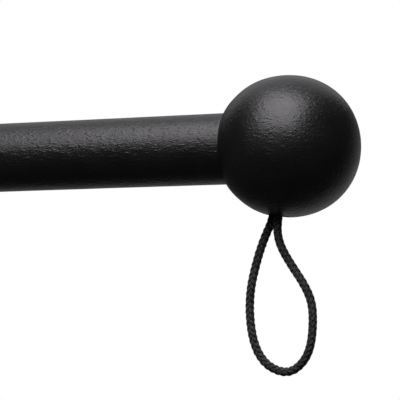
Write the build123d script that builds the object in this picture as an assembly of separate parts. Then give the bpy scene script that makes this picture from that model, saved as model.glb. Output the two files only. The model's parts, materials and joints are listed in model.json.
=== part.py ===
from build123d import *
import math
import os

# Devil stick: a turned wooden stick with a ball on each end and a loop of cord hanging from one ball.
# Millimetres. +X runs along the stick to the ball that holds the loop, +Z is up, and the origin is the
# middle of the grip, on the stick's axis.

# Overall
overall_length = 620.0
ball_diameter = 50.0
ball_extra_length = 0.7         # the balls are turned a touch longer than they are wide
ball_fullness = 2.09            # 2 is a plain ellipse; a turned ball is a little fuller than that
outline_steps = 12              # points that draw a ball's half outline

# Shaft
shaft_end_diameter = 25.3
grip_diameter = 24.2
grip_length = 60.0              # straight stretch at the middle, where the stick balances
seat_depth = 3.2                # how far the shaft's end goes into a ball, from where it meets the surface
seat_clearance = 0.05           # glue line round the shaft's end, radial

# Dowels that join the shaft to the balls
dowel_diameter = 14.0
dowel_in_shaft = 24.0
dowel_chamfer = 1.0
dowel_clearance = 0.05          # glue line round a dowel, radial
dowel_end_room = 1.5            # free depth past a dowel's end, for spare glue
flute_count = 12
flute_radius = 0.6

# Cord, and the hole and chamber that hold it
cord_diameter = 3.0
cord_hole_room = 2.0            # the hole is this much wider than the cord's two legs side by side
cord_hole_inboard = 3.8         # from the ball's centre towards the shaft
cord_hole_edge = 0.5            # rounding of the hole's mouth
leg_turn = 25.0                 # degrees from the stick's direction to the line through the two legs
leg_gap = 0.3                   # between the loop's two legs at the hole
legs_inboard = 1.25             # the loop's legs lean on the shaft side of the hole
swing_drop = 0.8                # the loop's swing axis lies this far under the ball
tail_gap = 0.1                  # between the two tails in the hole
tail_air = 0.15                 # between a tail and the hole's wall
swing_air = 0.05                # between the tails and the loop's rounded ends as they swing past
knot_grip = 2.0                 # the knot is this much wider than the hole
knot_air = 0.05                 # between the knot and the edge that it is drawn against
knot_clearance = 0.4            # between the knot and the dowel's end
chamber_past_knot = 1.2

# Derived places
ball_radius = ball_diameter / 2
ball_length = ball_diameter + ball_extra_length
ball_centre = (overall_length - ball_length) / 2
bore_radius = dowel_diameter / 2 + dowel_clearance
cord_radius = cord_diameter / 2
hole_radius = cord_diameter + cord_hole_room / 2
hole_x = ball_centre - cord_hole_inboard
swing_z = -ball_radius - swing_drop
knot_radius = hole_radius + knot_grip / 2
dowel_tip = hole_x - knot_radius - knot_clearance

# The shaft's end is let into the ball from the circle where it meets the ball's surface.
junction_share = (shaft_end_diameter / ball_diameter) ** ball_fullness
junction = ball_length / 2 * (1 - junction_share) ** (1 / ball_fullness)
shaft_reach = ball_centre - junction + seat_depth

# The knot is drawn down against the hole's edge in the bore.
edge_z = -math.sqrt(bore_radius**2 - hole_radius**2)
knot_z = edge_z + math.sqrt((knot_radius + knot_air) ** 2 - hole_radius**2)


def half_spread(gap):
    """From the middle of the two legs to the outer one, along X and across it, for this gap between them."""
    half = (cord_diameter + gap) / 2
    turn = math.radians(leg_turn)
    return half * math.cos(turn), half * math.sin(turn)


def along_x(part, start):
    """A part built up +Z from the origin, turned to run along +X from start."""
    return Pos(start, 0, 0) * Rot(0, 90, 0) * part


def rod(radius, start, end):
    """A plain cylinder on the stick's axis."""
    cylinder = Cylinder(radius, end - start, align=(Align.CENTER, Align.CENTER, Align.MIN))
    return along_x(cylinder, start)


def mirrored(part):
    """The same part at the stick's other end."""
    return mirror(part, about=Plane.YZ)


def tube(points, radii):
    """A round cord along straight runs joined by tangent arcs."""
    path = FilletPolyline(*points, radius=radii)
    section = Plane(origin=path @ 0, z_dir=path % 0) * Circle(cord_radius)
    return sweep(section, path=path)


def corner_radii(points):
    """The largest arc that each corner's two runs leave room for, with a little to spare."""
    radii = []
    for before, here, after in zip(points, points[1:], points[2:]):
        into = Vector(*here) - Vector(*before)
        out = Vector(*after) - Vector(*here)
        turn = math.radians(into.get_angle(out))
        radii.append(0.45 * min(into.length, out.length) / math.tan(turn / 2))
    return radii


def make_shaft():
    """Straight at the grip, then flaring along a large arc to each end, with a dowel bore in each end."""
    half_grip = grip_length / 2
    grip_edge = (half_grip, grip_diameter / 2)
    end_edge = (shaft_reach, shaft_end_diameter / 2)
    flare = TangentArc(grip_edge, end_edge, tangent=(1, 0))
    other_flare = mirror(flare, about=Plane.YZ)
    grip = Line((-half_grip, grip_diameter / 2), grip_edge)
    ends = Polyline(end_edge, (shaft_reach, 0), (-shaft_reach, 0), (-shaft_reach, shaft_end_diameter / 2))
    shaft = revolve(make_face(Curve() + [flare, grip, other_flare, ends]), axis=Axis.X)
    bore = rod(bore_radius, shaft_reach - dowel_in_shaft - dowel_end_room, shaft_reach)
    return shaft - bore - mirrored(bore)


def ball_outline():
    """Half of a ball's outline, from the pole at its free end over its middle to the pole at the shaft."""
    points = []
    for step in range(outline_steps + 1):
        turn = math.pi * step / outline_steps
        along = math.copysign(abs(math.cos(turn)) ** (2 / ball_fullness), math.cos(turn))
        out = abs(math.sin(turn)) ** (2 / ball_fullness)
        points.append((ball_centre + ball_length / 2 * along, ball_radius * out))
    points[-1] = (ball_centre - ball_length / 2, 0)
    return Spline(*points, tangents=[(0, 1), (0, -1)])


def make_ball(bore_end, side_holes=()):
    """A ball at the +X end with the shaft's seat, a blind bore that ends at bore_end, and any side holes."""
    outline = ball_outline()
    ball = revolve(make_face(Curve() + [outline, Line(outline @ 1, outline @ 0)]), axis=Axis.X)
    seat = rod(shaft_end_diameter / 2 + seat_clearance, ball_centre - ball_length, shaft_reach)
    return ball - [seat, rod(bore_radius, shaft_reach, bore_end), *side_holes]


def make_loop_ball():
    """The ball with the knot's chamber at the end of its bore and the cord's hole up into it."""
    hole = Cylinder(hole_radius, 2 * ball_radius, align=(Align.CENTER, Align.CENTER, Align.MAX))
    ball = make_ball(hole_x + knot_radius + chamber_past_knot, [Pos(hole_x, 0, 0) * hole])
    rims = ball.edges().filter_by(lambda edge: edge.is_closed)
    mouth = rims.sort_by(Axis.Z)[0]
    return fillet(mouth, cord_hole_edge)


def make_far_ball():
    """The plain ball, bored only as deep as its dowel needs, at the -X end."""
    return mirrored(make_ball(dowel_tip + dowel_end_room))


def make_dowel():
    """A fluted dowel pin across the joint at the +X end: the flutes let glue and air out of its bores."""
    start = shaft_reach - dowel_in_shaft
    length = dowel_tip - start
    pin = Cylinder(dowel_diameter / 2, length, align=(Align.CENTER, Align.CENTER, Align.MIN))
    pin = chamfer(pin.edges().filter_by(GeomType.CIRCLE), dowel_chamfer)
    flute = Cylinder(flute_radius, 2 * length, align=(Align.CENTER, Align.CENTER, Align.CENTER))
    pin -= PolarLocations(dowel_diameter / 2, flute_count) * flute
    return along_x(pin, start)


# The loop's route as it hangs, from the hole down the shaft side, round the bottom and up the outer side.
# Each point is (along X from the hole, across, down from the swing axis).
leg_x, leg_y = half_spread(leg_gap)
LOOP_ROUTE = [
    (-legs_inboard - leg_x, leg_y, 0.0),
    (-5.1, 1.0, 6.0),
    (-8.0, 1.1, 13.5),
    (-10.7, 1.1, 24.2),
    (-10.9, 0.9, 34.5),
    (-8.8, 0.7, 44.2),
    (-4.7, 0.5, 50.8),
    (0.8, 0.2, 53.6),
    (5.4, 0.0, 53.4),
    (9.8, -0.2, 49.8),
    (12.2, -0.5, 44.7),
    (13.15, -0.8, 37.7),
    (12.8, -1.1, 29.8),
    (10.1, -1.3, 23.4),
    (5.4, -1.3, 16.1),
    (1.6, -1.1, 9.8),
    (0.2, -1.0, 4.8),
    (-legs_inboard + leg_x, -leg_y, 0.0),
]


def make_cord_loop():
    """The free loop, with rounded ends on the axis that it swings about."""
    points = [(hole_x + x, y, swing_z - down) for x, y, down in LOOP_ROUTE]
    radii = corner_radii(points)
    print("loop radii in cord diameters", [round(r / cord_diameter, 1) for r in radii])
    loop = tube(points, radii)
    length = FilletPolyline(*points, radius=radii).length
    volume_share = loop.volume / (math.pi * cord_radius**2 * length)
    print("loop length", round(length, 1), "volume over section times length", round(volume_share, 4))
    for end in (points[0], points[-1]):
        loop += Pos(*end) * Sphere(cord_radius)
    return loop


def make_knot():
    """The stopper knot: three turns of cord drawn tight together, resting on the hole's upper edge."""
    turn_radius = knot_radius - cord_radius
    turn = Torus(turn_radius, cord_radius)
    knot = Sphere(turn_radius) + turn + Rot(90, 0, 0) * turn + Rot(0, 90, 0) * turn
    return Pos(hole_x, 0, knot_z) * knot


def make_cord_tails(knot):
    """The cord's two ends in the hole, from just above the loop's rounded ends up to the knot."""
    tail_x, tail_y = half_spread(tail_gap)
    lean_room = hole_radius - cord_radius - tail_air
    foot_x = hole_x - math.sqrt(lean_room**2 - tail_y**2) + tail_x
    foot_z = swing_z + leg_y + cord_radius + swing_air
    tails = []
    for side in (-1, 1):
        foot = Vector(foot_x + side * tail_x, -side * tail_y, foot_z)
        head = Vector(hole_x + side * tail_x, -side * tail_y, knot_z)
        leg = head - foot
        upright = Cylinder(cord_radius, leg.length, align=(Align.CENTER, Align.CENTER, Align.MIN))
        below_knot = (Plane(origin=foot, z_dir=leg) * upright - knot).solids().sort_by(Axis.Z)[0]
        tails.append(below_knot)
    return Compound(children=tails)


dowel = make_dowel()
knot = make_knot()
parts = {
    "shaft": make_shaft(),
    "loop_ball": make_loop_ball(),
    "far_ball": make_far_ball(),
    "loop_ball_dowel": dowel,
    "far_ball_dowel": mirrored(dowel),
    "cord_loop": make_cord_loop(),
    "cord_tails": make_cord_tails(knot),
    "cord_knot": knot,
}

os.makedirs("parts", exist_ok=True)
for name, part in parts.items():
    part.label = name
    export_step(part, f"parts/{name}.step")
    print(name, len(part.solids()), "solid", round(part.volume), "mm3")
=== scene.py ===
# %% [markdown]
# # A devil stick with a loop of cord
#
# A devil stick is a juggler's prop: a turned wooden stick with a ball on each end, painted satin black.
# A loop of braided cord hangs from one ball, so that the stick can be hung up between shows.
#
# The construction is already there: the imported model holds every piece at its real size. This lesson
# gives it its looks. It starts with the frame, the camera and the cord, because they decide the most,
# and then goes through the shaft, the finishes and the light.

# %% Load the frame
import json
import math

import bpy
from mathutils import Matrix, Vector


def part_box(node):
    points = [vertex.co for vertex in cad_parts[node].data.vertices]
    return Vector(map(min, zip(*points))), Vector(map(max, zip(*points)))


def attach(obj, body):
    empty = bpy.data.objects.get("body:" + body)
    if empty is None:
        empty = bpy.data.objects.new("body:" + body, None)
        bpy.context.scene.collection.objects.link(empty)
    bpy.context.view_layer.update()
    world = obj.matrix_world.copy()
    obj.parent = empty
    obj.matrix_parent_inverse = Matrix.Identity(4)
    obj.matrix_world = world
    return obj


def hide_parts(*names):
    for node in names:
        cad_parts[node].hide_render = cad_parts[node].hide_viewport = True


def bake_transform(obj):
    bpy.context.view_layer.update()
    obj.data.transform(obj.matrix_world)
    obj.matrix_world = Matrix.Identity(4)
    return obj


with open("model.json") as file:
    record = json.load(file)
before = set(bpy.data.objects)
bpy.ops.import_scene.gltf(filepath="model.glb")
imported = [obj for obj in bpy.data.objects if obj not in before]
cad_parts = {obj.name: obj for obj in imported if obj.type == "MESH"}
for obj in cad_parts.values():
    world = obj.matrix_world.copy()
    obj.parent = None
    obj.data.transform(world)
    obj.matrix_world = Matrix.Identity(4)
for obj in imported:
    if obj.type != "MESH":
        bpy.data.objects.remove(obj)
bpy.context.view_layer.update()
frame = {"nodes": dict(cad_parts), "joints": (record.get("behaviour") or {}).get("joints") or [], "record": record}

nodes = frame["nodes"]
scene = bpy.context.scene
print("pieces in the frame:", ", ".join(sorted(nodes)))

# %% [markdown]
# ## Sizes
#
# Everything is in metres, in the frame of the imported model: +X runs along the stick to the ball that
# holds the loop, and +Z is up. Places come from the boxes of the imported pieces. What a box can't tell,
# such as the cord's diameter, is named here once.

# %% Places and sizes
MM = 0.001
BALL_EXTRA_LENGTH = 0.7 * MM        # the balls are a touch longer than they are wide
HOLE_INBOARD = 3.8 * MM             # from the ball's centre to the cord's hole, towards the shaft
ball_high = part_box("loop_ball")[1]
ball_radius = ball_high.y
ball_length = 2 * ball_radius + BALL_EXTRA_LENGTH
ball_centre = Vector((ball_high.x - ball_length / 2, 0, 0))
hole_x = ball_centre.x - HOLE_INBOARD
swing_z = frame["joints"][0]["pos_m"][2]
cord_diameter = 3.0 * MM
print("ball", round(2000 * ball_radius, 1), "mm; hole at", round(1000 * hole_x, 1), "mm along the stick")

# %% [markdown]
# ## Camera
#
# The stick is seen from a little below and from the side of the loop's ball, so the shaft runs away to
# the left. A long lens from more than a metre keeps its edges almost parallel, as in product pictures.
# The camera aims beside and under the ball: that leaves room for the loop and cuts the shaft off.

# %% Set up the camera
VIEW_AZIMUTH = 17.0
VIEW_ELEVATION = -6.9
VIEW_DISTANCE = 1.17
LENS = 300.0
AIM_BESIDE_BALL = 31.15 * MM
AIM_BELOW_BALL = 18.75 * MM


def direction(azimuth, elevation):
    """The unit vector that points from the object to a viewer at these angles, in degrees."""
    turn, rise = math.radians(azimuth), math.radians(elevation)
    return Vector((math.sin(turn) * math.cos(rise), -math.cos(turn) * math.cos(rise), math.sin(rise)))


def make_camera():
    """The camera, level, looking at the aim point."""
    to_viewer = direction(VIEW_AZIMUTH, VIEW_ELEVATION)
    right = Vector((0, 0, 1)).cross(to_viewer).normalized()
    up = to_viewer.cross(right)
    place = ball_centre + VIEW_DISTANCE * to_viewer
    aim = ball_centre - AIM_BESIDE_BALL * right - AIM_BELOW_BALL * up
    data = bpy.data.cameras.new("camera")
    data.lens = LENS
    data.clip_end = 50
    camera = bpy.data.objects.new("camera", data)
    camera.location = place
    camera.rotation_mode = "QUATERNION"
    camera.rotation_quaternion = (aim - place).to_track_quat("-Z", "Y")
    scene.collection.objects.link(camera)
    return camera


scene.camera = make_camera()
print("camera at", [round(x, 3) for x in scene.camera.location])

# %% [markdown]
# ## Small helpers for node trees
#
# Both shaders and Geometry Nodes are trees of nodes. A few short helpers keep the code that builds them
# readable: one places a node and fills its inputs, others do sums on numbers and on vectors, and the last
# adds a group's sockets.

# %% Node helpers
def fill(tree, socket, value):
    """Gives an input a value, or links it to another node's output."""
    if isinstance(value, bpy.types.NodeSocket):
        tree.links.new(value, socket)
    else:
        socket.default_value = value


def add(tree, kind, inputs=None, **settings):
    """Places a node, sets its options, and fills its inputs, which are named or numbered."""
    made = tree.nodes.new(kind)
    for name, value in settings.items():
        setattr(made, name, value)
    for name, value in (inputs or {}).items():
        fill(tree, made.inputs[name], value)
    return made


def calc(tree, operation, *values):
    """The result of a Math node on numbers or outputs."""
    return add(tree, "ShaderNodeMath", dict(enumerate(values)), operation=operation).outputs[0]


def on_circle(tree, operation, turns):
    """The sine or cosine of a part of a turn."""
    return calc(tree, operation, calc(tree, "MULTIPLY", turns, math.tau))


def stretched(tree, value, low, high):
    """0 up to the low value, 1 from the high value on, and an even rise between them."""
    return add(tree, "ShaderNodeMapRange", {"Value": value, "From Min": low, "From Max": high}).outputs[0]


def vector_calc(tree, operation, *values, **named):
    """The result of a Vector Math node: a number for a length, and a vector otherwise."""
    outputs = add(tree, "ShaderNodeVectorMath", dict(enumerate(values)) | named, operation=operation).outputs
    return outputs["Value" if operation == "LENGTH" else "Vector"]


def split(tree, vector):
    """A vector's parts, named X, Y and Z."""
    return add(tree, "ShaderNodeSeparateXYZ", {0: vector}).outputs


def combine(tree, x, y, z):
    """A vector from three numbers or outputs."""
    return add(tree, "ShaderNodeCombineXYZ", {0: x, 1: y, 2: z}).outputs[0]


def sockets(tree, in_out, **kinds):
    """Adds named inputs or outputs to a node group. An underscore in a name stands for a space."""
    for name, kind in kinds.items():
        tree.interface.new_socket(name=name.replace("_", " "), in_out=in_out, socket_type="NodeSocket" + kind)


helpers = (fill, add, calc, on_circle, stretched, vector_calc, split, combine, sockets)
print("helpers:", ", ".join(helper.__name__ for helper in helpers))

# %% [markdown]
# ## Effects that the finishes share
#
# Paint, yarn and wood all vary a little from place to place. A shader node group makes such an effect
# once, and each finish uses it with values of its own. One group gives soft mottling. The other gives
# the fine wrinkles that brushed and sprayed paint dries with: noise whose middle value is folded into
# creases, at two sizes.

# %% Build the shared effects
def group_start(name, **inputs):
    """A new shader group and its inputs, with every effect read at a place called Vector."""
    tree = bpy.data.node_groups.new(name, "ShaderNodeTree")
    sockets(tree, "INPUT", Vector="Vector", **inputs)
    return tree, add(tree, "NodeGroupInput").outputs


def noise(tree, vector, frequency, detail=2.0):
    """Smooth noise from 0 to 1, with a frequency in waves per metre."""
    inputs = {"Vector": vector, "Scale": frequency, "Detail": detail}
    return add(tree, "ShaderNodeTexNoise", inputs).outputs["Fac"]


def mottle_group():
    """Soft patches, from 0 to 1."""
    tree, given = group_start("soft_mottle", Size="Float")
    sockets(tree, "OUTPUT", Mottle="Float")
    patches = noise(tree, given["Vector"], calc(tree, "DIVIDE", 1.0, given["Size"]))
    add(tree, "NodeGroupOutput", {"Mottle": stretched(tree, patches, 0.3, 0.7)})
    return tree


def wrinkle_group():
    """The relief of dried paint: creases in two sizes, stretched along X."""
    tree, given = group_start("paint_wrinkles", Size="Float", Stretch="Float")
    sockets(tree, "OUTPUT", Height="Float")
    squeeze = combine(tree, calc(tree, "DIVIDE", 1.0, given["Stretch"]), 1.0, 1.0)
    place = vector_calc(tree, "MULTIPLY", given["Vector"], squeeze)
    frequency = calc(tree, "DIVIDE", 1.0, given["Size"])
    large = noise(tree, place, frequency, detail=1.5)
    fine = noise(tree, place, calc(tree, "MULTIPLY", frequency, 2.3))
    crease = calc(tree, "ABSOLUTE", calc(tree, "SUBTRACT", large, 0.5))
    height = calc(tree, "MULTIPLY_ADD", fine, 0.45, calc(tree, "MULTIPLY_ADD", large, 0.8, crease))
    add(tree, "NodeGroupOutput", {"Height": height})
    return tree


MOTTLE = mottle_group()
WRINKLES = wrinkle_group()
print("effects:", MOTTLE.name, "and", WRINKLES.name)

# %% [markdown]
# ## Finishes
#
# There are three: satin black paint, black yarn and bare wood. Each is one Principled BSDF. What is the
# same all over goes straight onto its sockets, and what varies comes from the shared effects.

# %% Helpers for finishes
def finish_start(name, **shader):
    """A material with its Principled BSDF, whose even values are set on its own sockets."""
    material = bpy.data.materials.new(name)
    material.use_nodes = True
    tree = material.node_tree
    surface = tree.nodes["Principled BSDF"]
    for key, value in shader.items():
        surface.inputs[key.replace("_", " ")].default_value = value
    place = add(tree, "ShaderNodeTexCoord").outputs
    return material, tree, surface, place


def use(tree, group, **inputs):
    """Places a shared effect with this finish's own values, and returns its first output."""
    values = {name.replace("_", " "): value for name, value in inputs.items()}
    return add(tree, "ShaderNodeGroup", values, node_tree=group).outputs[0]


def blend_colours(tree, share, low, high):
    """A colour between two, by a share from 0 to 1. Each is three numbers or another node's output."""
    low, high = ((*colour, 1) if isinstance(colour, tuple) else colour for colour in (low, high))
    return add(tree, "ShaderNodeMix", {0: share, 6: low, 7: high}, data_type="RGBA").outputs[2]


def between(tree, share, low, high):
    """A number between two, by a share from 0 to 1."""
    return calc(tree, "MULTIPLY_ADD", share, high - low, low)


def raise_surface(tree, surface, height, depth):
    """Bumps the surface by a height from 0 to about 1, times a depth in metres."""
    inputs = {"Height": height, "Distance": depth, "Strength": 1.0}
    fill(tree, surface.inputs["Normal"], add(tree, "ShaderNodeBump", inputs).outputs[0])


print("finish helpers ready")

# %% [markdown]
# ## Satin black paint
#
# Such paint is nearly black where it faces the viewer and picks up broad soft highlights, so its
# roughness and its wrinkles matter more than its colour. It stops a little way inside a ball's holes,
# and the wood there is bare. The distance from the ball's centre tells the two apart.

# %% Mix the paint
PALE_WOOD = (0.70, 0.52, 0.33)
PAINT_REACH = 0.65 * MM             # how far the paint runs into a hole
PAINT_EDGE = 0.1 * MM               # how soft its edge is


def painted_share(tree, spot):
    """1 on a ball's skin and 0 in its bore and its holes, which the paint doesn't reach."""
    at = split(tree, spot)
    beside = calc(tree, "SUBTRACT", calc(tree, "ABSOLUTE", at["X"]), ball_centre.x)
    distance = vector_calc(tree, "LENGTH", combine(tree, beside, at["Y"], at["Z"]))
    reach = ball_radius - PAINT_REACH
    return stretched(tree, distance, reach - PAINT_EDGE, reach)


def paint(name, wrinkle_size, stretch, depth, on_ball=False):
    """Satin black paint over turned wood. On a ball, only the skin is painted."""
    material, tree, surface, place = finish_start(name, IOR=1.5)
    spot = place["Object"]
    mottle = use(tree, MOTTLE, Vector=spot, Size=9 * MM)
    wrinkles = use(tree, WRINKLES, Vector=spot, Size=wrinkle_size, Stretch=stretch)
    colour = blend_colours(tree, mottle, (0.004, 0.004, 0.0045), (0.006, 0.006, 0.0065))
    roughness = between(tree, mottle, 0.34, 0.40)
    if on_ball:
        skin = painted_share(tree, spot)
        colour = blend_colours(tree, skin, PALE_WOOD, colour)
        roughness = calc(tree, "MULTIPLY_ADD", calc(tree, "SUBTRACT", 1.0, skin), 0.3, roughness)
    fill(tree, surface.inputs["Base Color"], colour)
    fill(tree, surface.inputs["Roughness"], roughness)
    raise_surface(tree, surface, wrinkles, depth)
    return material


ball_paint = paint("ball_paint", wrinkle_size=1.05 * MM, stretch=1.8, depth=0.155 * MM, on_ball=True)
shaft_paint = paint("shaft_paint", wrinkle_size=0.85 * MM, stretch=2.6, depth=0.19 * MM)
for name in ("loop_ball", "far_ball"):
    nodes[name].data.materials[0] = ball_paint
print("paints:", ball_paint.name, "and", shaft_paint.name)

# %% [markdown]
# ## Black yarn
#
# The cord is a little warmer than the paint and much duller. The braid stores how high each point lies
# on the cord, so the finish can be paler on top, partly for wear and partly as a painted highlight, and
# black in the gaps as painted shade. The knot inside the ball is the same cord, but its plain surface
# needs a weave to stand for the yarns.

# %% Make the cord's finishes
def yarn_finish():
    """Black braided yarn: each yarn is a bundle of fine filaments, with painted shade deep down and a painted
    highlight on top.
    """
    material, tree, surface, place = finish_start("cord_braid", IOR=1.45, Sheen_Weight=0.15,
                                                  Sheen_Roughness=0.4)
    mottle = use(tree, MOTTLE, Vector=place["Object"], Size=10 * MM)

    # The filaments run along the yarn with a slight twist. The map gives the way round and along it.
    on_yarn = split(tree, place["UV"])
    twisted = calc(tree, "MULTIPLY_ADD", on_yarn["Y"], 0.35, on_yarn["X"])
    filaments = on_circle(tree, "SINE", calc(tree, "MULTIPLY", twisted, 22.0))
    fuzz = noise(tree, place["Object"], 9000.0)
    height = calc(tree, "MULTIPLY_ADD", filaments, 0.5, fuzz)

    # Pale on top, high on the cord and on the crown of each yarn: partly wear, partly a painted highlight. The
    # yarns' edges and the gaps get painted shade.
    lift = add(tree, "ShaderNodeAttribute", attribute_name="lift").outputs["Fac"]
    worn_and_lit_top = stretched(tree, lift, 0.76, 0.96)
    lit_crown = stretched(tree, on_circle(tree, "SINE", on_yarn["X"]), 0.35, 1.0)
    share = calc(tree, "MULTIPLY", calc(tree, "MULTIPLY", worn_and_lit_top, lit_crown), between(tree, mottle, 0.15, 1.0))
    # The dark colour is painted shade in the gaps, and the pale one is wear and a painted highlight on top.
    colour = blend_colours(tree, share, (0.002, 0.002, 0.002), (0.082, 0.072, 0.067))
    fill(tree, surface.inputs["Base Color"], colour)
    fill(tree, surface.inputs["Roughness"], between(tree, mottle, 0.50, 0.62))
    raise_surface(tree, surface, height, 0.03 * MM)
    return material


def knot_finish():
    """The same cord drawn tight in the knot, whose yarns show as a fine weave."""
    material, tree, surface, place = finish_start("knot_braid", IOR=1.45, Sheen_Weight=0.25,
                                                  Sheen_Roughness=0.4)
    spot = place["Object"]
    mottle = use(tree, MOTTLE, Vector=spot, Size=3 * MM)
    weave = add(tree, "ShaderNodeTexVoronoi", {"Vector": spot, "Scale": 900.0}).outputs["Distance"]
    colour = blend_colours(tree, mottle, (0.008, 0.008, 0.008), (0.030, 0.027, 0.025))
    fill(tree, surface.inputs["Base Color"], colour)
    fill(tree, surface.inputs["Roughness"], between(tree, mottle, 0.55, 0.65))
    raise_surface(tree, surface, weave, 0.2 * MM)
    return material


cord_braid = yarn_finish()
knot_braid = knot_finish()
nodes["cord_knot"].data.materials[0] = knot_braid
print("cord finishes:", cord_braid.name, "and", knot_braid.name)

# %% [markdown]
# ## Bare wood
#
# The dowels inside are beech, left bare for the glue. Beech is pale, and short rays run along its grain.
# The paint's wrinkles serve for these, drawn out long and thin.

# %% Make the dowels' wood
def bare_wood():
    """Bare beech: pale, with fine rays along the dowel."""
    material, tree, surface, place = finish_start("bare_beech", IOR=1.45)
    spot = place["Object"]
    mottle = use(tree, MOTTLE, Vector=spot, Size=6 * MM)
    grain = use(tree, WRINKLES, Vector=spot, Size=0.6 * MM, Stretch=14.0)
    share = calc(tree, "MULTIPLY", grain, between(tree, mottle, 0.7, 1.0))
    colour = blend_colours(tree, share, (0.62, 0.43, 0.25), (0.40, 0.24, 0.12))
    fill(tree, surface.inputs["Base Color"], colour)
    fill(tree, surface.inputs["Roughness"], between(tree, mottle, 0.6, 0.75))
    raise_surface(tree, surface, grain, 0.03 * MM)
    return material


bare_beech = bare_wood()
for name in ("loop_ball_dowel", "far_ball_dowel"):
    nodes[name].data.materials[0] = bare_beech
print("wood:", bare_beech.name)

# %% [markdown]
# ## The cord's line
#
# One piece of 3 mm cord makes the loop. Its two ends go up into the ball through one hole and are tied
# into a knot inside. A limp cord that is held at one end hangs in a drop shape, a little to one side, as
# it was last bent.
#
# The line is drawn as a NURBS spline, because it passes smoothly between its control points, as a real
# cord does. The plain solid in the frame follows the same route within half a millimetre.

# %% Draw the cord's line
# Each point is in millimetres: along the stick from the hole, across it, and down from the swing axis.
LOOP_ROUTE = [
    (-2.5, 1.05, 0.0),
    (-5.35, 1.0, 5.8),
    (-8.15, 1.1, 13.5),
    (-10.8, 1.1, 24.2),
    (-10.95, 0.9, 34.5),
    (-9.1, 0.7, 44.2),
    (-5.1, 0.5, 50.5),
    (0.6, 0.2, 53.4),
    (5.2, 0.0, 53.2),
    (9.4, -0.2, 49.7),
    (11.8, -0.5, 44.7),
    (12.75, -0.8, 37.7),
    (12.65, -1.1, 29.8),
    (10.0, -1.3, 23.4),
    (5.05, -1.3, 16.1),
    (1.25, -1.1, 9.8),
    (-0.1, -1.1, 4.8),
    (0.15, -1.05, 0.0),
]
# The same for the left tail, from inside the knot down to the loop. The other tail is its twin.
TAIL_ROUTE = [
    (-1.4, 0.65, -21.4),
    (-1.5, 0.75, -14.0),
    (-1.8, 0.95, -6.0),
]
TAILS_APART = 2.8


def route_points():
    """The whole route: up one tail and down the other, with the loop between them."""
    other_tail = [(x + TAILS_APART, -y, down) for x, y, down in reversed(TAIL_ROUTE)]
    whole = TAIL_ROUTE + LOOP_ROUTE + other_tail
    return [Vector((hole_x + x * MM, y * MM, swing_z - down * MM)) for x, y, down in whole]


def spline_line(name, points):
    """A mesh of the points along the smooth line through a route: a NURBS spline with no thickness."""
    curve = bpy.data.curves.new(name, "CURVE")
    curve.dimensions = "3D"
    curve.resolution_u = 16
    spline = curve.splines.new("NURBS")
    spline.points.add(len(points) - 1)
    for control, point in zip(spline.points, points):
        control.co = (*point, 1)
    spline.order_u = 3
    spline.use_endpoint_u = True
    route = bpy.data.objects.new(name, curve)
    line = bpy.data.meshes.new_from_object(route)
    bpy.data.objects.remove(route)
    return line


cord_line = spline_line("cord_line", route_points())

# %% [markdown]
# ## The braid
#
# The cord is braided from twelve flat yarns on a thin core. Six run round it one way and six the other
# way, and each goes over two and under two. That is what makes the columns of small V shapes.
#
# A braid repeats along a path, which is what Geometry Nodes are good at. Each yarn starts as a flat grid.
# Its long side becomes the way along the cord, and its short side closes into the yarn's oval section.
# The tree works out where each point lies: how far along, how far round, and how far out. Then it reads
# the path there. A yarn's distance from the middle rises and falls as a wave, so that crossing yarns
# pass over each other.

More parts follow.
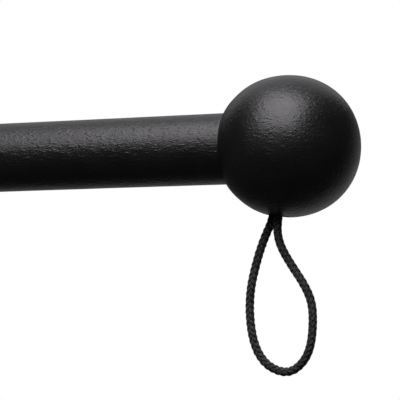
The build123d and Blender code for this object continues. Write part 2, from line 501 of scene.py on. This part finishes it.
# %% Build the braid tree
def braid_tree():
    """A Geometry Nodes tree that lays a braid of flat yarns along a line."""
    tree = bpy.data.node_groups.new("braid", "GeometryNodeTree")
    sockets(tree, "INPUT", Line="Geometry", Radius="Float", Pitch="Float", Yarn_Width="Float")
    sockets(tree, "INPUT", Yarn_Thickness="Float", Looseness="Float", Taper="Float", Steps="Int")
    sockets(tree, "INPUT", Section_Points="Int", Yarns_Each_Way="Int", Seed="Int", Material="Material")
    sockets(tree, "OUTPUT", Braid="Geometry")
    given = add(tree, "NodeGroupInput").outputs
    path = add(tree, "GeometryNodeMeshToCurve", {"Mesh": given["Line"]}).outputs["Curve"]
    length = add(tree, "GeometryNodeCurveLength", {"Curve": path}).outputs["Length"]

    # Flat grids on one spot, one for each yarn, each with its number.
    grid = add(tree, "GeometryNodeMeshGrid", {
        "Size X": 1.0, "Size Y": 1.0, "Vertices X": given["Steps"], "Vertices Y": given["Section Points"],
    }).outputs["Mesh"]
    each_way = given["Yarns Each Way"]
    spots = add(tree, "GeometryNodeMeshLine", {
        "Count": calc(tree, "MULTIPLY", each_way, 2.0), "Offset": (0, 0, 0),
    }).outputs["Mesh"]
    copies = add(tree, "GeometryNodeInstanceOnPoints", {"Points": spots, "Instance": grid})
    number = add(tree, "GeometryNodeInputIndex").outputs[0]
    numbered = add(tree, "GeometryNodeStoreNamedAttribute", {
        "Geometry": copies.outputs["Instances"], "Name": "yarn", "Value": number,
    }, data_type="INT", domain="INSTANCE").outputs["Geometry"]
    grids = add(tree, "GeometryNodeRealizeInstances", {"Geometry": numbered}).outputs["Geometry"]

    # Where a point is on its own grid: 0 to 1 along the yarn, and 0 to 1 round its section.
    place = split(tree, add(tree, "GeometryNodeInputPosition").outputs[0])
    along = calc(tree, "ADD", place["X"], 0.5)
    around = calc(tree, "ADD", place["Y"], 0.5)
    yarn = add(tree, "GeometryNodeInputNamedAttribute", {"Name": "yarn"}, data_type="INT").outputs[0]

    # The first half of the yarns turn one way round the cord, evenly spaced, and the rest the other way.
    other_way = calc(tree, "GREATER_THAN", yarn, calc(tree, "ADD", each_way, -0.5))
    way = calc(tree, "MULTIPLY_ADD", other_way, -2.0, 1.0)
    distance = calc(tree, "MULTIPLY", along, length)
    turns_along = calc(tree, "MULTIPLY", calc(tree, "DIVIDE", distance, given["Pitch"]), way)
    turned = calc(tree, "ADD", turns_along, calc(tree, "DIVIDE", yarn, each_way))

    # The wave that takes a yarn over two and under two. In one turn a yarn meets each yarn that turns the
    # other way twice, and one wave lasts four meetings.
    periods = calc(tree, "MULTIPLY", each_way, 0.5)
    wave = on_circle(tree, "COSINE", calc(tree, "MULTIPLY_ADD", turned, periods, -0.375))
    own_start = calc(tree, "MULTIPLY_ADD", yarn, 31.7, given["Seed"])
    stray = add(tree, "ShaderNodeTexNoise", {
        "W": calc(tree, "MULTIPLY_ADD", distance, 500.0, own_start), "Scale": 1.0, "Detail": 1.0,
    }, noise_dimensions="1D").outputs["Fac"]
    stray = calc(tree, "MULTIPLY", calc(tree, "ADD", stray, -0.5), given["Looseness"])
    thickness = calc(tree, "MULTIPLY", given["Yarn Thickness"], 0.5)
    amplitude = calc(tree, "MULTIPLY", given["Yarn Thickness"], 0.52)
    middle = calc(tree, "SUBTRACT", calc(tree, "SUBTRACT", given["Radius"], thickness), amplitude)
    lift = calc(tree, "MULTIPLY", calc(tree, "MULTIPLY", wave, way), amplitude)
    out = calc(tree, "ADD", calc(tree, "ADD", middle, lift), stray)

    # The ends taper to a point, as a cord's cut ends are melted together.
    to_end = calc(tree, "MINIMUM", distance, calc(tree, "SUBTRACT", length, distance))
    fullness = calc(tree, "MINIMUM", calc(tree, "DIVIDE", to_end, given["Taper"]), 1.0)
    fullness = calc(tree, "SQRT", fullness)

    # The yarn's oval section lies flat on the cord, square to the way that the yarn runs.
    slope = calc(tree, "DIVIDE", calc(tree, "MULTIPLY", given["Radius"], 0.8 * math.tau), given["Pitch"])
    lean = calc(tree, "ARCTANGENT", slope)
    flat, high = (calc(tree, "MULTIPLY", on_circle(tree, way_round, around), fullness)
                  for way_round in ("COSINE", "SINE"))
    side = calc(tree, "MULTIPLY", flat, calc(tree, "MULTIPLY", given["Yarn Width"], 0.5))
    rise = calc(tree, "MULTIPLY", high, thickness)
    round_by = calc(tree, "DIVIDE", calc(tree, "MULTIPLY", side, calc(tree, "COSINE", lean)),
                    calc(tree, "MULTIPLY", out, math.tau))
    back_by = calc(tree, "MULTIPLY", calc(tree, "MULTIPLY", side, calc(tree, "SINE", lean)), way)
    at = calc(tree, "SUBTRACT", distance, back_by)
    angle = calc(tree, "ADD", turned, round_by)
    height = calc(tree, "ADD", out, rise)

    # From "along, round, out" to a point beside the path.
    read = add(tree, "GeometryNodeSampleCurve", {"Curves": path, "Length": at}, mode="LENGTH").outputs
    binormal = vector_calc(tree, "CROSS_PRODUCT", read["Tangent"], read["Normal"])
    across, beside = (
        vector_calc(tree, "SCALE", axis, Scale=calc(tree, "MULTIPLY", height, on_circle(tree, part, angle)))
        for axis, part in ((read["Normal"], "COSINE"), (binormal, "SINE"))
    )
    point = vector_calc(tree, "ADD", read["Position"], vector_calc(tree, "ADD", across, beside))

    # Each yarn keeps its own map for the finish: once round its section, and its length in yarn widths.
    yarn_map = combine(tree, around, calc(tree, "DIVIDE", distance, given["Yarn Width"]), 0.0)
    mapped = add(tree, "GeometryNodeStoreNamedAttribute", {
        "Geometry": grids, "Name": "UVMap", "Value": yarn_map,
    }, data_type="FLOAT2", domain="CORNER").outputs["Geometry"]
    # How far out each point lies, which the yarn finish turns into painted shade in the gaps and a painted
    # highlight on top.
    lifted = add(tree, "GeometryNodeStoreNamedAttribute", {
        "Geometry": mapped, "Name": "lift", "Value": calc(tree, "DIVIDE", height, given["Radius"]),
    }, data_type="FLOAT", domain="POINT").outputs["Geometry"]
    laid = add(tree, "GeometryNodeSetPosition", {"Geometry": lifted, "Position": point}).outputs["Geometry"]
    closed = add(tree, "GeometryNodeMergeByDistance", {"Geometry": laid, "Distance": 1e-6}).outputs[0]

    # The core fills the middle, so that nothing shows through between the yarns.
    ring = add(tree, "GeometryNodeCurvePrimitiveCircle", {
        "Resolution": 12, "Radius": calc(tree, "SUBTRACT", middle, calc(tree, "MULTIPLY", amplitude, 0.8)),
    }).outputs["Curve"]
    core = add(tree, "GeometryNodeCurveToMesh", {"Curve": path, "Profile Curve": ring, "Fill Caps": True})
    joined = add(tree, "GeometryNodeJoinGeometry", {"Geometry": closed})
    tree.links.new(core.outputs["Mesh"], joined.inputs["Geometry"])
    smooth = add(tree, "GeometryNodeSetShadeSmooth", {"Geometry": joined.outputs["Geometry"]}).outputs[0]
    real = add(tree, "GeometryNodeRealizeInstances", {"Geometry": smooth}).outputs["Geometry"]
    finished = add(tree, "GeometryNodeSetMaterial", {"Geometry": real, "Material": given["Material"]})
    add(tree, "NodeGroupOutput", {"Braid": finished.outputs[0]})
    return tree


BRAID = braid_tree()
print("braid tree has", len(BRAID.nodes), "nodes")

# %% [markdown]
# ## From a tree to a plain mesh
#
# A tree runs as a modifier on an object. The modifier's inputs are set by their identifiers, and before
# anything is evaluated. The result is then copied into a plain mesh, which every program can read.

# %% Run a tree
def grow(name, start, tree, **values):
    """A new object with the plain mesh that a tree makes from a starting mesh."""
    seed = bpy.data.objects.new(name + "_seed", start)
    scene.collection.objects.link(seed)
    modifier = seed.modifiers.new("grow", "NODES")
    modifier.node_group = tree
    inputs = {item.name: item for item in tree.interface.items_tree if item.in_out == "INPUT"}
    for key, value in values.items():
        modifier[inputs[key.replace("_", " ")].identifier] = value
    evaluated = seed.evaluated_get(bpy.context.evaluated_depsgraph_get())
    mesh = bpy.data.meshes.new_from_object(evaluated)
    mesh.name = name
    bpy.data.objects.remove(seed)
    made = bpy.data.objects.new(name, mesh)
    scene.collection.objects.link(made)
    print(name, "has", len(mesh.polygons), "faces")
    return made


cord = grow(
    "hanging_cord", cord_line, BRAID, Radius=0.54 * cord_diameter, Pitch=12.5 * MM, Yarn_Width=1.2 * MM,
    Yarn_Thickness=0.5 * MM, Looseness=0.06 * MM, Taper=1.2 * MM, Steps=600, Section_Points=9,
    Yarns_Each_Way=6, Seed=4, Material=cord_braid,
)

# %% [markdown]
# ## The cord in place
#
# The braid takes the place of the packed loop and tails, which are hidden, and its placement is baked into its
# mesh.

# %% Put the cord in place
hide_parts("cord_loop", "cord_tails")
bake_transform(cord)

# %% [markdown]
# ## The turned pieces
#
# The shaft and the balls come off a lathe, so each is half an outline turned about the stick's axis. The
# packed balls are round enough as they are, but the shaft fills half the view and is made anew. A lathe
# is a rule, and Geometry Nodes can follow it: a grid takes its rows from the outline's points and wraps
# its columns round the axis.
#
# Real paint isn't perfectly even. It dries in slow waves that bend a highlight, so the tree raises the
# painted rows by a noise of a few hundredths of a millimetre. That relief is real geometry, and the
# finer wrinkles are left to the finish.

# %% Build the lathe tree
def lathe_tree():
    """Turns an outline about X. An outline's point is (along X, 1 where painted, distance from the axis)."""
    tree = bpy.data.node_groups.new("lathe", "GeometryNodeTree")
    sockets(tree, "INPUT", Outline="Geometry", Around="Int", Wave_Height="Float", Wave_Size="Float")
    sockets(tree, "INPUT", Wave_Stretch="Float", Seed="Float", Material="Material")
    sockets(tree, "OUTPUT", Turned="Geometry")
    given = add(tree, "NodeGroupInput").outputs
    rows = add(tree, "GeometryNodeAttributeDomainSize", {"Geometry": given["Outline"]}).outputs["Point Count"]
    columns = calc(tree, "ADD", given["Around"], 1.0)
    grid = add(tree, "GeometryNodeMeshGrid", {
        "Size X": 1.0, "Size Y": 1.0, "Vertices X": rows, "Vertices Y": columns,
    }).outputs["Mesh"]
    spot = split(tree, add(tree, "GeometryNodeInputPosition").outputs[0])
    row = calc(tree, "MULTIPLY", calc(tree, "ADD", spot["X"], 0.5), calc(tree, "SUBTRACT", rows, 1.0))
    outline_point = add(tree, "GeometryNodeSampleIndex", {
        "Geometry": given["Outline"], "Value": add(tree, "GeometryNodeInputPosition").outputs[0],
        "Index": calc(tree, "ROUND", row),
    }, data_type="FLOAT_VECTOR").outputs["Value"]
    outline = split(tree, outline_point)
    turn = calc(tree, "ADD", spot["Y"], 0.5)
    sine, cosine = on_circle(tree, "SINE", turn), on_circle(tree, "COSINE", turn)

    # Slow waves in the paint, read on the turned surface and a little longer than they are wide.
    read_x = calc(tree, "ADD", calc(tree, "DIVIDE", outline["X"], given["Wave Stretch"]), given["Seed"])
    read_y, read_z = (calc(tree, "MULTIPLY", outline["Z"], part) for part in (cosine, sine))
    read_at = combine(tree, read_x, read_y, read_z)
    waves = noise(tree, read_at, calc(tree, "DIVIDE", 1.0, given["Wave Size"]), detail=1.0)
    raised = calc(tree, "MULTIPLY", calc(tree, "SUBTRACT", waves, 0.55), given["Wave Height"])
    out = calc(tree, "MULTIPLY_ADD", raised, outline["Y"], outline["Z"])
    place = combine(tree, outline["X"], *(calc(tree, "MULTIPLY", out, part) for part in (cosine, sine)))
    turned = add(tree, "GeometryNodeSetPosition", {"Geometry": grid, "Position": place}).outputs["Geometry"]
    closed = add(tree, "GeometryNodeMergeByDistance", {"Geometry": turned, "Distance": 1e-6}).outputs[0]
    smooth = add(tree, "GeometryNodeSetShadeSmooth", {"Geometry": closed}).outputs[0]
    real = add(tree, "GeometryNodeRealizeInstances", {"Geometry": smooth}).outputs["Geometry"]
    finished = add(tree, "GeometryNodeSetMaterial", {"Geometry": real, "Material": given["Material"]})
    add(tree, "NodeGroupOutput", {"Turned": finished.outputs[0]})
    return tree


LATHE = lathe_tree()
print("lathe tree has", len(LATHE.nodes), "nodes")

# %% [markdown]
# ## The shaft
#
# The shaft is straight at the grip and grows a little thicker towards both ends, along one large arc. Its
# ends are bored for the dowels and let into the balls.

# %% Turn the shaft
shaft_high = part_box("shaft")[1]
grip = next(mount for mount in frame["record"]["mounts"] if mount["name"] == "grip")
grip_radius = grip["dims"]["r_mm"] * MM
half_grip = grip["dims"]["length_mm"] * MM / 2
shaft_reach = shaft_high.x
end_radius = shaft_high.y
BORE_RADIUS = 7.05 * MM             # the dowel's hole in each end
BORE_DEPTH = 25.5 * MM
ROW_STEP = 1.0 * MM


def outline_mesh(name, points):
    """A line of outline points, each (along X, 1 where painted, distance from the axis)."""
    mesh = bpy.data.meshes.new(name)
    mesh.from_pydata(points, [(i, i + 1) for i in range(len(points) - 1)], [])
    return mesh


def shaft_radius(x):
    """The grip's radius, then a slow rise to the ends."""
    past_grip = max(abs(x) - half_grip, 0) / (shaft_reach - half_grip)
    return grip_radius + (end_radius - grip_radius) * past_grip**2


def shaft_outline():
    """From the bottom of one bore, out of it, along the shaft, and into the other bore."""
    bottom = shaft_reach - BORE_DEPTH
    bore = [(bottom, 0, 0), (bottom, 0, BORE_RADIUS), (shaft_reach, 0, BORE_RADIUS),
            (shaft_reach, 0, end_radius)]
    rows = round(2 * shaft_reach / ROW_STEP)
    steps = [shaft_reach * (1 - 2 * i / rows) for i in range(1, rows)]
    skin = [(x, 1, shaft_radius(x)) for x in steps]
    return bore + skin + [(-x, painted, r) for x, painted, r in reversed(bore)]


shaft = grow("turned_shaft", outline_mesh("shaft_outline", shaft_outline()), LATHE, Around=156,
             Wave_Height=0.06 * MM, Wave_Size=4.5 * MM, Wave_Stretch=2.5, Seed=0.0, Material=shaft_paint)
shaft.data.set_sharp_from_angle(angle=math.radians(40))     # crisp where a bore has a real edge
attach(shaft, "stick")
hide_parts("shaft")

# %% [markdown]
# ## Light
#
# Satin black needs large soft lights: what shows on it is their reflection. A softbox stands in front of
# the stick and well above it, and makes the broad highlight on each piece's upper side. A wider one
# behind it draws the pale edge along the top. The surroundings are pale straight behind the stick, for
# its other rims, and dark everywhere else, which keeps its face black. The viewer sees plain white all
# round. Both lamps have a touch less green than white light, for the faint violet sheen of the paint.

# %% Set up the lights
LAMP_COLOUR = (1.0, 0.965, 1.0)


def softbox(name, azimuth, elevation, distance, width, height, power):
    """A rectangular light that faces the ball from these angles."""
    data = bpy.data.lights.new(name, "AREA")
    data.shape = "RECTANGLE"
    data.size = width
    data.size_y = height
    data.energy = power
    data.color = LAMP_COLOUR
    lamp = bpy.data.objects.new(name, data)
    away = direction(azimuth, elevation)
    lamp.location = ball_centre + distance * away
    lamp.rotation_mode = "QUATERNION"
    lamp.rotation_quaternion = (-away).to_track_quat("-Z", "Y")
    lamp.visible_camera = False
    scene.collection.objects.link(lamp)


def surroundings():
    """White for the viewer. For the stick, pale straight behind it and dark elsewhere."""
    world = bpy.data.worlds.new("studio")
    world.use_nodes = True
    tree = world.node_tree
    lit = tree.nodes["Background"]
    way = split(tree, add(tree, "ShaderNodeTexCoord").outputs["Generated"])
    behind = calc(tree, "MULTIPLY_ADD", way["Z"], -0.3, way["Y"])
    level = add(tree, "ShaderNodeMapRange", {
        "Value": behind, "From Min": 0.74, "From Max": 1.05, "To Min": 0.045, "To Max": 0.4,
    }, interpolation_type="SMOOTHSTEP").outputs[0]
    fill(tree, lit.inputs["Strength"], level)
    lit.inputs["Color"].default_value = (1, 1, 1, 1)
    seen = add(tree, "ShaderNodeBackground", {"Color": (1, 1, 1, 1), "Strength": 1.0}).outputs[0]
    camera_ray = add(tree, "ShaderNodeLightPath").outputs["Is Camera Ray"]
    either = add(tree, "ShaderNodeMixShader", {0: camera_ray, 1: lit.outputs[0], 2: seen}).outputs[0]
    fill(tree, tree.nodes["World Output"].inputs["Surface"], either)
    return world


softbox("key_softbox", azimuth=-3, elevation=55, distance=0.8, width=0.76, height=0.95, power=11.2)
softbox("back_softbox", azimuth=204, elevation=50, distance=1.6, width=2.2, height=1.6, power=7)
scene.world = surroundings()
scene.view_settings.view_transform = "Standard"
print("two softboxes and a white background")

# %% [markdown]
# ## Floor
#
# The floor is plain and pale, and far enough below for the loop to hang free. It shows from above only,
# glows a little so that it is as pale far away as under the lamps, and throws no light on the stick.

# %% Lay the floor
FLOOR_BELOW = 0.25
FLOOR_REACH = 9.0


def pale_floor():
    """A wide plane, seen from above and clear from below."""
    mesh = bpy.data.meshes.new("floor")
    square = ((-1, -1), (1, -1), (1, 1), (-1, 1))
    corners = [(x * FLOOR_REACH, y * FLOOR_REACH, -FLOOR_BELOW) for x, y in square]
    mesh.from_pydata(corners, [], [(0, 1, 2, 3)])
    floor = bpy.data.objects.new("floor", mesh)
    scene.collection.objects.link(floor)
    material, tree, surface, place = finish_start("pale_floor", Roughness=0.8, Emission_Strength=0.75)
    surface.inputs["Base Color"].default_value = (0.2, 0.2, 0.2, 1)
    surface.inputs["Emission Color"].default_value = (1, 1, 1, 1)
    under = add(tree, "ShaderNodeNewGeometry").outputs["Backfacing"]
    clear = add(tree, "ShaderNodeBsdfTransparent").outputs[0]
    either = add(tree, "ShaderNodeMixShader", {0: under, 1: surface.outputs[0], 2: clear}).outputs[0]
    fill(tree, tree.nodes["Material Output"].inputs["Surface"], either)
    mesh.materials.append(material)
    floor.visible_glossy = False
    floor.visible_diffuse = False
    return floor


pale_floor()
print("floor", round(1000 * FLOOR_BELOW), "mm below the stick's axis")
